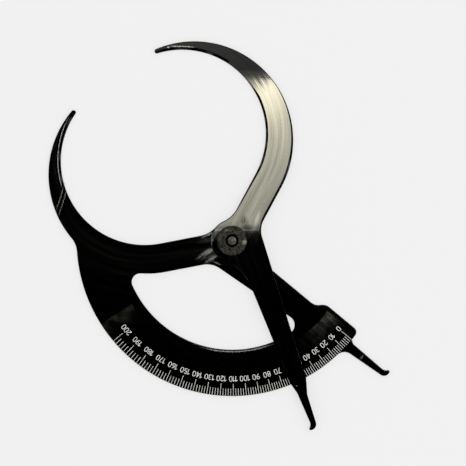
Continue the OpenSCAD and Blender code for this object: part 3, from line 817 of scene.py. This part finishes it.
# %% White filling paint
FILLING_WHITE = colour("#f4f4ee")
FILLING_GREY = colour("#c6c6c0")
WIPE_SIZE = 2.2 * MM
WIPE_CONTRAST = {"From Min": 0.35, "From Max": 0.60}
CHALK_SIZE = 0.25 * MM
CHALK_DEPTH = 0.01 * MM
CHALK_ROUGH = (0.55, 0.8)
material, tree = empty_material("white_filling_paint")
place = add(tree, "ShaderNodeTexCoord", out="Object")
wiped = add(tree, NOISE, {"Vector": place, "Scale": 1 / WIPE_SIZE, "Detail": 3.0})
share = add(tree, RANGE, {"Value": wiped, **WIPE_CONTRAST})
base = add(tree, MIX, {"Factor": share, 6: FILLING_GREY, 7: FILLING_WHITE}, out=2, data_type="RGBA")
chalk = add(tree, NOISE, {"Vector": place, "Scale": 1 / CHALK_SIZE, "Detail": 2.0})
rough = add(tree, RANGE, {"Value": chalk, "To Min": CHALK_ROUGH[0], "To Max": CHALK_ROUGH[1]})
normal = add(tree, "ShaderNodeBump", {"Height": chalk, "Distance": CHALK_DEPTH})
shader = add(tree, "ShaderNodeBsdfPrincipled", {"Base Color": base, "Roughness": rough, "Normal": normal})
add(tree, "ShaderNodeOutputMaterial", {0: shader})
filling_paint = material
numeral_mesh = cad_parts["scale_numerals"].data
numeral_mesh.materials.clear()
numeral_mesh.materials.append(filling_paint)
print("numerals dressed in", filling_paint.name)

# %% [markdown]
# The scale reads the straight distance between the tips, which move on a circle of 130.4 mm. So a reading v
# stands at the angle 2 asin(v / 2R) from the zero line, and the marks spread out towards high readings.
# Placing 101 marks by hand would be slow and inexact. Geometry Nodes make one mark, put a copy on each
# point of a list, and work out each copy's angle and length from its place in that list.

# %% Geometry Nodes tree for the scale marks
NUMBERED_EACH = 5
TOP_NARROWING = 0.25


def mark_tree(paint):
    """One mark for each division, turned by the chord law, with named inputs for the sizes."""
    tree = bpy.data.node_groups.new("scale_marks_by_chord", "GeometryNodeTree")
    tree.interface.new_socket("Geometry", in_out="OUTPUT", socket_type="NodeSocketGeometry")
    for name, kind in (
            ("Marks", "NodeSocketInt"), ("Division", "NodeSocketFloat"), ("Tip radius", "NodeSocketFloat"),
            ("Zero direction", "NodeSocketFloat"), ("Outer radius", "NodeSocketFloat"),
            ("Height of face", "NodeSocketFloat"), ("Short length", "NodeSocketFloat"),
            ("Long length", "NodeSocketFloat"), ("Zero length", "NodeSocketFloat"),
            ("Width", "NodeSocketFloat"), ("Thickness", "NodeSocketFloat")):
        tree.interface.new_socket(name, in_out="INPUT", socket_type=kind)
    size = add(tree, "NodeGroupInput").node.outputs
    index = add(tree, "GeometryNodeInputIndex")
    reading = add(tree, MATH, {0: index, 1: size["Division"]}, operation="MULTIPLY")
    doubled = add(tree, MATH, {0: size["Tip radius"], 1: 2.0}, operation="MULTIPLY")
    chord = add(tree, MATH, {0: reading, 1: doubled}, operation="DIVIDE")
    half_turn = add(tree, MATH, {0: chord}, operation="ARCSINE")
    turn = add(tree, MATH, {0: half_turn, 1: -2.0, 2: size["Zero direction"]}, operation="MULTIPLY_ADD")
    across = add(tree, MATH, {0: turn}, operation="COSINE")
    up = add(tree, MATH, {0: turn}, operation="SINE")
    ring_x = add(tree, MATH, {0: across, 1: size["Outer radius"]}, operation="MULTIPLY")
    ring_y = add(tree, MATH, {0: up, 1: size["Outer radius"]}, operation="MULTIPLY")
    spot = add(tree, "ShaderNodeCombineXYZ", {0: ring_x, 1: ring_y, 2: size["Height of face"]})
    points = add(tree, "GeometryNodePoints", {"Count": size["Marks"], "Position": spot})
    # A numbered mark stands at each fifth division
    fifth = add(tree, MATH, {0: index, 1: NUMBERED_EACH}, operation="MODULO")
    numbered = add(tree, MATH, {0: fifth, 1: 0.5}, operation="LESS_THAN")
    first = add(tree, MATH, {0: index, 1: 0.5}, operation="LESS_THAN")
    length = add(tree, MIX, {"Factor": numbered, 2: size["Short length"], 3: size["Long length"]})
    length = add(tree, MIX, {"Factor": first, 2: length, 3: size["Zero length"]})
    # The mark is 1 long before it is scaled, reaches inwards from its point, and is narrower at its top
    box_size = add(tree, "ShaderNodeCombineXYZ", {0: 1.0, 1: size["Width"], 2: size["Thickness"]})
    block = add(tree, "GeometryNodeMeshCube", {"Size": box_size})
    here = add(tree, "ShaderNodeSeparateXYZ", {0: add(tree, "GeometryNodeInputPosition")}).node.outputs
    on_top = add(tree, MATH, {0: here["Z"], 1: 0.0}, operation="GREATER_THAN")
    narrow = add(tree, MATH, {0: on_top, 1: -TOP_NARROWING, 2: 1.0}, operation="MULTIPLY_ADD")
    new_y = add(tree, MATH, {0: here["Y"], 1: narrow}, operation="MULTIPLY")
    inwards = add(tree, MATH, {0: here["X"], 1: 0.5}, operation="SUBTRACT")
    half_thick = add(tree, MATH, {0: size["Thickness"], 1: 0.5, 2: here["Z"]}, operation="MULTIPLY_ADD")
    place = add(tree, "ShaderNodeCombineXYZ", {0: inwards, 1: new_y, 2: half_thick})
    mark = add(tree, "GeometryNodeSetPosition", {"Geometry": block, "Position": place})
    spin = add(tree, "ShaderNodeCombineXYZ", {2: turn})
    stretch = add(tree, "ShaderNodeCombineXYZ", {0: length, 1: 1.0, 2: 1.0})
    copies = add(tree, "GeometryNodeInstanceOnPoints", {
        "Points": points, "Instance": mark, "Rotation": spin, "Scale": stretch})
    solid = add(tree, "GeometryNodeRealizeInstances", {"Geometry": copies})
    painted = add(tree, "GeometryNodeSetMaterial", {"Geometry": solid, "Material": paint})
    add(tree, "NodeGroupOutput", {0: painted})
    return tree


# %% The scale marks
FRAME_FACE = 2.0 * MM
FACES_PER_MARK = 6
MARK_SIZES = {
    "Marks": 101, "Division": 2.0 * MM, "Tip radius": 130.4 * MM, "Zero direction": -ZERO_TURN,
    "Outer radius": 99.25 * MM, "Height of face": FRAME_FACE, "Short length": 4.5 * MM,
    "Long length": 7.5 * MM, "Zero length": 8.3 * MM, "Width": 0.30 * MM, "Thickness": 0.06 * MM,
}
holder_mesh = bpy.data.meshes.new("marks_holder")
holder = bpy.data.objects.new("marks_holder", holder_mesh)
scene.collection.objects.link(holder)
maker = holder.modifiers.new("marks", "NODES")
maker.node_group = mark_tree(filling_paint)
for item in maker.node_group.interface.items_tree:
    if item.item_type == "SOCKET" and item.in_out == "INPUT":
        maker[item.identifier] = MARK_SIZES[item.name]
solved = holder.evaluated_get(bpy.context.evaluated_depsgraph_get())
mark_mesh = bpy.data.meshes.new_from_object(solved)
mark_mesh.name = "mark_filling"
bpy.data.objects.remove(holder)
marks_piece = bpy.data.objects.new("mark_filling", mark_mesh)
scene.collection.objects.link(marks_piece)
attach(marks_piece, "frame")
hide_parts("scale_marks")
print("marks:", len(mark_mesh.polygons) // FACES_PER_MARK, "of", MARK_SIZES["Marks"])

# %% [markdown]
# The tool lies on white paper. The camera sees the paper partly as a plain white field, which the Light
# Path node allows, so the background stays even while the soft shadow still shows.

# %% Floor
FLOOR_RADIUS = 6.0
FLOOR_HEIGHT = -0.05 * MM
PAPER = colour("#f4f4f4")
PLAIN_SHARE = 0.75
bpy.ops.mesh.primitive_circle_add(vertices=128, radius=FLOOR_RADIUS, fill_type="NGON")
floor = bpy.context.object
floor.name = "floor"
floor.location.z = FLOOR_HEIGHT
material, tree = empty_material("white_paper")
paper = add(tree, "ShaderNodeBsdfDiffuse", {"Color": PAPER})
plain = add(tree, "ShaderNodeEmission", {"Color": PAPER, "Strength": 1.0})
path = add(tree, "ShaderNodeLightPath").node.outputs
seen = add(tree, MATH, {0: path["Is Camera Ray"], 1: path["Is Glossy Ray"]}, operation="MAXIMUM")
seen = add(tree, MATH, {0: seen, 1: path["Is Transmission Ray"]}, operation="MAXIMUM")
seen = add(tree, MATH, {0: seen, 1: PLAIN_SHARE}, operation="MULTIPLY")
surface = add(tree, "ShaderNodeMixShader", {0: seen, 1: paper, 2: plain})
add(tree, "ShaderNodeOutputMaterial", {0: surface})
floor.data.materials.append(material)
print("floor is", 2 * FLOOR_RADIUS, "m across")

# %% [markdown]
# The studio is a white tent with a black ceiling. Level faces mirror the ceiling and look black, while the
# white walls light the paper and the paint.

# %% World with pale walls and a dark ceiling
CEILING_EDGE = math.radians(24)
CEILING_FADE = 0.05
CEILING_STRENGTH = 0.005
WALL_STRENGTH = 0.93
world = bpy.data.worlds.new("studio")
scene.world = world
world.use_nodes = True
tree = world.node_tree
tree.nodes.clear()
way = add(tree, "ShaderNodeTexCoord", out="Generated")
height = add(tree, "ShaderNodeSeparateXYZ", {0: way}, out="Z")
walls = add(tree, RANGE, {"Value": height, "From Min": math.cos(CEILING_EDGE) - CEILING_FADE,
                          "From Max": math.cos(CEILING_EDGE), "To Min": WALL_STRENGTH,
                          "To Max": CEILING_STRENGTH})
sky = add(tree, "ShaderNodeBackground", {"Color": (1, 1, 1, 1), "Strength": walls})
add(tree, "ShaderNodeOutputWorld", {0: sky})
print("ceiling is dark up to", round(math.degrees(CEILING_EDGE)), "degrees from straight up")

# %% [markdown]
# One soft box hangs to the right, high above the tool. Its long side lies along the tool, so the rounded
# edges that face it each catch one even line of light.

# %% Key light from the right
KEY_DIRECTION = (0.43, 0.16, 1.0)
KEY_DISTANCE = 3.0
KEY_SIZE = (0.5, 2.2)
KEY_RADIANCE = 5.0


def softbox(name, direction, distance, size, radiance):
    """A rectangular area light aimed at the tool, of that radiance. Its second side lies along Y."""
    lamp = bpy.data.lights.new(name, "AREA")
    lamp.shape = "RECTANGLE"
    lamp.size, lamp.size_y = size
    lamp.energy = radiance * math.pi * size[0] * size[1]
    box = bpy.data.objects.new(name, lamp)
    way = Vector(direction).normalized()
    box.location = way * distance
    box.rotation_euler = way.to_track_quat("Z", "Y").to_euler()
    scene.collection.objects.link(box)
    print(name, "gives", round(lamp.energy, 1), "W")


softbox("key_softbox", KEY_DIRECTION, KEY_DISTANCE, KEY_SIZE, KEY_RADIANCE)

# %% [markdown]
# One bright card hangs where the arm's slope mirrors it, and its dim end reaches to where the arm's level
# jaw end does. It grows from black through grey to cream along a slanting line, which gives the jaw its
# warm flash. Only mirror rays see it, so it lights neither the paper nor the paint.

# %% Reflection card over the arm's slope
CARD_HEIGHT = 5.0
CARD_X = (-0.10, 0.24)
CARD_Y = (0.03, 0.60)
CARD_STRENGTH = 62.0
CARD_SLANT = 0.8
CARD_TONES = [
    (0.04, "#000000"), (0.10, "#2c2c28"), (0.16, "#6c6b60"), (0.23, "#7c7b6d"), (0.285, "#92917e"),
    (0.33, "#a5a38e"), (0.355, "#a8a58c"), (0.362, "#ccc3a2"), (0.368, "#f4e8c0"), (0.373, "#fff8d4")]
card_mesh = bpy.data.meshes.new("reflection_card")
corners = [(x, y, CARD_HEIGHT) for x, y in (
    (CARD_X[0], CARD_Y[0]), (CARD_X[0], CARD_Y[1]), (CARD_X[1], CARD_Y[1]), (CARD_X[1], CARD_Y[0]))]
card_mesh.from_pydata(corners, [], [(0, 1, 2, 3)])
card = bpy.data.objects.new("reflection_card", card_mesh)
scene.collection.objects.link(card)
material, tree = empty_material("card_glow")
place = add(tree, "ShaderNodeTexCoord", out="Object")
slanted = add(tree, VECTOR, {0: place, 1: (-CARD_SLANT, 1, 0)}, out="Value", operation="DOT_PRODUCT")
low, high = CARD_TONES[0][0], CARD_TONES[-1][0]
share = add(tree, RANGE, {"Value": slanted, "From Min": low, "From Max": high})
tones = add(tree, "ShaderNodeValToRGB", {0: share})
stops = tones.node.color_ramp.elements
stops[0].color = colour(CARD_TONES[0][1])
stops[-1].color = colour(CARD_TONES[-1][1])
for at, code in CARD_TONES[1:-1]:
    stops.new((at - low) / (high - low)).color = colour(code)
glow = add(tree, "ShaderNodeEmission", {"Color": tones, "Strength": CARD_STRENGTH})
add(tree, "ShaderNodeOutputMaterial", {0: glow})
card_mesh.materials.append(material)
card.visible_camera = False
card.visible_diffuse = False
card.visible_shadow = False
print("card hangs", CARD_HEIGHT, "m up and has", len(CARD_TONES), "tones")
